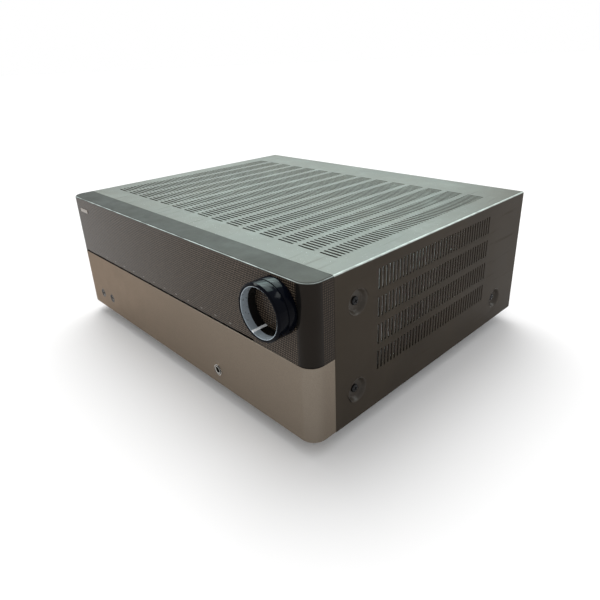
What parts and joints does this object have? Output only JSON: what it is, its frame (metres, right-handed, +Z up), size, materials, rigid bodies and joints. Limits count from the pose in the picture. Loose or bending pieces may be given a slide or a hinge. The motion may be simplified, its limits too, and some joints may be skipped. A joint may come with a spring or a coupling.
{
  "type": "hi-fi receiver",
  "caption": "Full-width audio receiver with a slotted steel cover, split front, hollow volume knob, slim keys in a groove and rear sockets.",
  "frame": {"origin": "under the middle of the whole object's box, on the plane that the foot pads stand on", "axes": "+X to the right as seen from the front, the front faces -Y, +Z up"},
  "size_m": [0.44, 0.39, 0.165],
  "materials": {
    "cover_paint": "satin",
    "zinc_steel": "satin",
    "rear_paint": "matte",
    "gloss_front": "gloss",
    "satin_front": "satin",
    "foot_plastic": "matte",
    "pad_rubber": "matte",
    "black_screw": "satin",
    "badge_silver": "satin",
    "key_plastic": "satin",
    "circuit_board": "satin",
    "display_glass": "gloss",
    "jack_metal": "polished",
    "jack_plastic": "satin",
    "knob_gloss": "gloss",
    "liner_satin": "satin",
    "pointer_white": "satin",
    "shaft_steel": "satin",
    "encoder_metal": "satin",
    "core_iron": "varnished",
    "coil_copper": "varnished",
    "capacitor_sleeve": "satin",
    "sink_aluminium": "extruded",
    "component_black": "matte",
    "digital_board_blue": "satin",
    "ribbon_vinyl": "matte",
    "stud_brass": "polished",
    "rca_nickel": "polished",
    "cap_red": "satin",
    "cap_black": "satin"
  },
  "bodies": {
    "case": {"top_cover": "cover_paint", "chassis_tray": "zinc_steel", "rear_panel": "rear_paint", "front_subframe": "zinc_steel", "upper_front": "gloss_front", "lower_front": "satin_front", "feet": "foot_plastic", "foot_pads": "pad_rubber", "cover_screws": "black_screw", "rear_screws": "black_screw", "badge_bar": "badge_silver", "key_board": "circuit_board", "display_module": "display_glass", "headphone_jack": "jack_metal", "front_jack_left": "jack_plastic", "front_jack_right": "jack_plastic", "volume_encoder": "encoder_metal", "transformer_core": "core_iron", "transformer_coil": "coil_copper", "transformer_strap": "zinc_steel", "supply_board": "circuit_board", "filter_capacitors": "capacitor_sleeve", "heatsink": "sink_aluminium", "amp_board": "circuit_board", "output_transistors": "component_black", "main_board": "circuit_board", "digital_board": "digital_board_blue", "ribbon_cable": "ribbon_vinyl", "speaker_block": "jack_plastic", "speaker_studs": "stud_brass", "rca_jacks": "rca_nickel", "hdmi_sockets": "encoder_metal", "antenna_block": "encoder_metal", "ac_inlet": "jack_plastic"},
    "volume_knob": {"knob_ring": "knob_gloss", "knob_liner": "liner_satin", "knob_pointer": "pointer_white", "knob_hub": "knob_gloss", "encoder_shaft": "shaft_steel"},
    "power_button": {"power_key": "key_plastic"},
    "key_1": {"menu_key_1": "key_plastic"},
    "key_2": {"menu_key_2": "key_plastic"},
    "key_3": {"menu_key_3": "key_plastic"},
    "key_4": {"menu_key_4": "key_plastic"},
    "key_5": {"menu_key_5": "key_plastic"},
    "key_6": {"menu_key_6": "key_plastic"},
    "key_7": {"menu_key_7": "key_plastic"},
    "key_8": {"menu_key_8": "key_plastic"},
    "key_9": {"menu_key_9": "key_plastic"},
    "key_10": {"menu_key_10": "key_plastic"},
    "key_11": {"menu_key_11": "key_plastic"},
    "key_12": {"menu_key_12": "key_plastic"},
    "cap_1": {"post_cap_1": "cap_black"},
    "cap_2": {"post_cap_2": "cap_red"},
    "cap_3": {"post_cap_3": "cap_black"},
    "cap_4": {"post_cap_4": "cap_red"},
    "cap_5": {"post_cap_5": "cap_black"},
    "cap_6": {"post_cap_6": "cap_red"},
    "cap_7": {"post_cap_7": "cap_black"},
    "cap_8": {"post_cap_8": "cap_red"}
  },
  "joints": [
    {"name": "volume_turn", "type": "hinge", "parent": "case", "child": "volume_knob", "pos_m": [0.1825, -0.1755, 0.1375], "axis": [0, -1, 0], "continuous": true},
    {"name": "power_press", "type": "slide", "parent": "case", "child": "power_button", "axis": [0, 1, 0], "range_m": [0, 0.0008], "stiffness_N_per_m": 300},
    {"name": "key_1_press", "type": "slide", "parent": "case", "child": "key_1", "axis": [0, 1, 0], "range_m": [0, 0.0008], "stiffness_N_per_m": 300},
    {"name": "key_2_press", "type": "slide", "parent": "case", "child": "key_2", "axis": [0, 1, 0], "range_m": [0, 0.0008], "stiffness_N_per_m": 300},
    {"name": "key_3_press", "type": "slide", "parent": "case", "child": "key_3", "axis": [0, 1, 0], "range_m": [0, 0.0008], "stiffness_N_per_m": 300},
    {"name": "key_4_press", "type": "slide", "parent": "case", "child": "key_4", "axis": [0, 1, 0], "range_m": [0, 0.0008], "stiffness_N_per_m": 300},
    {"name": "key_5_press", "type": "slide", "parent": "case", "child": "key_5", "axis": [0, 1, 0], "range_m": [0, 0.0008], "stiffness_N_per_m": 300},
    {"name": "key_6_press", "type": "slide", "parent": "case", "child": "key_6", "axis": [0, 1, 0], "range_m": [0, 0.0008], "stiffness_N_per_m": 300},
    {"name": "key_7_press", "type": "slide", "parent": "case", "child": "key_7", "axis": [0, 1, 0], "range_m": [0, 0.0008], "stiffness_N_per_m": 300},
    {"name": "key_8_press", "type": "slide", "parent": "case", "child": "key_8", "axis": [0, 1, 0], "range_m": [0, 0.0008], "stiffness_N_per_m": 300},
    {"name": "key_9_press", "type": "slide", "parent": "case", "child": "key_9", "axis": [0, 1, 0], "range_m": [0, 0.0008], "stiffness_N_per_m": 300},
    {"name": "key_10_press", "type": "slide", "parent": "case", "child": "key_10", "axis": [0, 1, 0], "range_m": [0, 0.0008], "stiffness_N_per_m": 300},
    {"name": "key_11_press", "type": "slide", "parent": "case", "child": "key_11", "axis": [0, 1, 0], "range_m": [0, 0.0008], "stiffness_N_per_m": 300},
    {"name": "key_12_press", "type": "slide", "parent": "case", "child": "key_12", "axis": [0, 1, 0], "range_m": [0, 0.0008], "stiffness_N_per_m": 300},
    {"name": "cap_1_turn", "type": "hinge", "parent": "case", "child": "cap_1", "pos_m": [0.1185, 0.1885, 0.067], "axis": [0, 1, 0], "range_deg": [0, 900]},
    {"name": "cap_2_turn", "type": "hinge", "parent": "case", "child": "cap_2", "pos_m": [0.1395, 0.1885, 0.067], "axis": [0, 1, 0], "range_deg": [0, 900]},
    {"name": "cap_3_turn", "type": "hinge", "parent": "case", "child": "cap_3", "pos_m": [0.1605, 0.1885, 0.067], "axis": [0, 1, 0], "range_deg": [0, 900]},
    {"name": "cap_4_turn", "type": "hinge", "parent": "case", "child": "cap_4", "pos_m": [0.1815, 0.1885, 0.067], "axis": [0, 1, 0], "range_deg": [0, 900]},
    {"name": "cap_5_turn", "type": "hinge", "parent": "case", "child": "cap_5", "pos_m": [0.1185, 0.1885, 0.045], "axis": [0, 1, 0], "range_deg": [0, 900]},
    {"name": "cap_6_turn", "type": "hinge", "parent": "case", "child": "cap_6", "pos_m": [0.1395, 0.1885, 0.045], "axis": [0, 1, 0], "range_deg": [0, 900]},
    {"name": "cap_7_turn", "type": "hinge", "parent": "case", "child": "cap_7", "pos_m": [0.1605, 0.1885, 0.045], "axis": [0, 1, 0], "range_deg": [0, 900]},
    {"name": "cap_8_turn", "type": "hinge", "parent": "case", "child": "cap_8", "pos_m": [0.1815, 0.1885, 0.045], "axis": [0, 1, 0], "range_deg": [0, 900]}
  ]
}
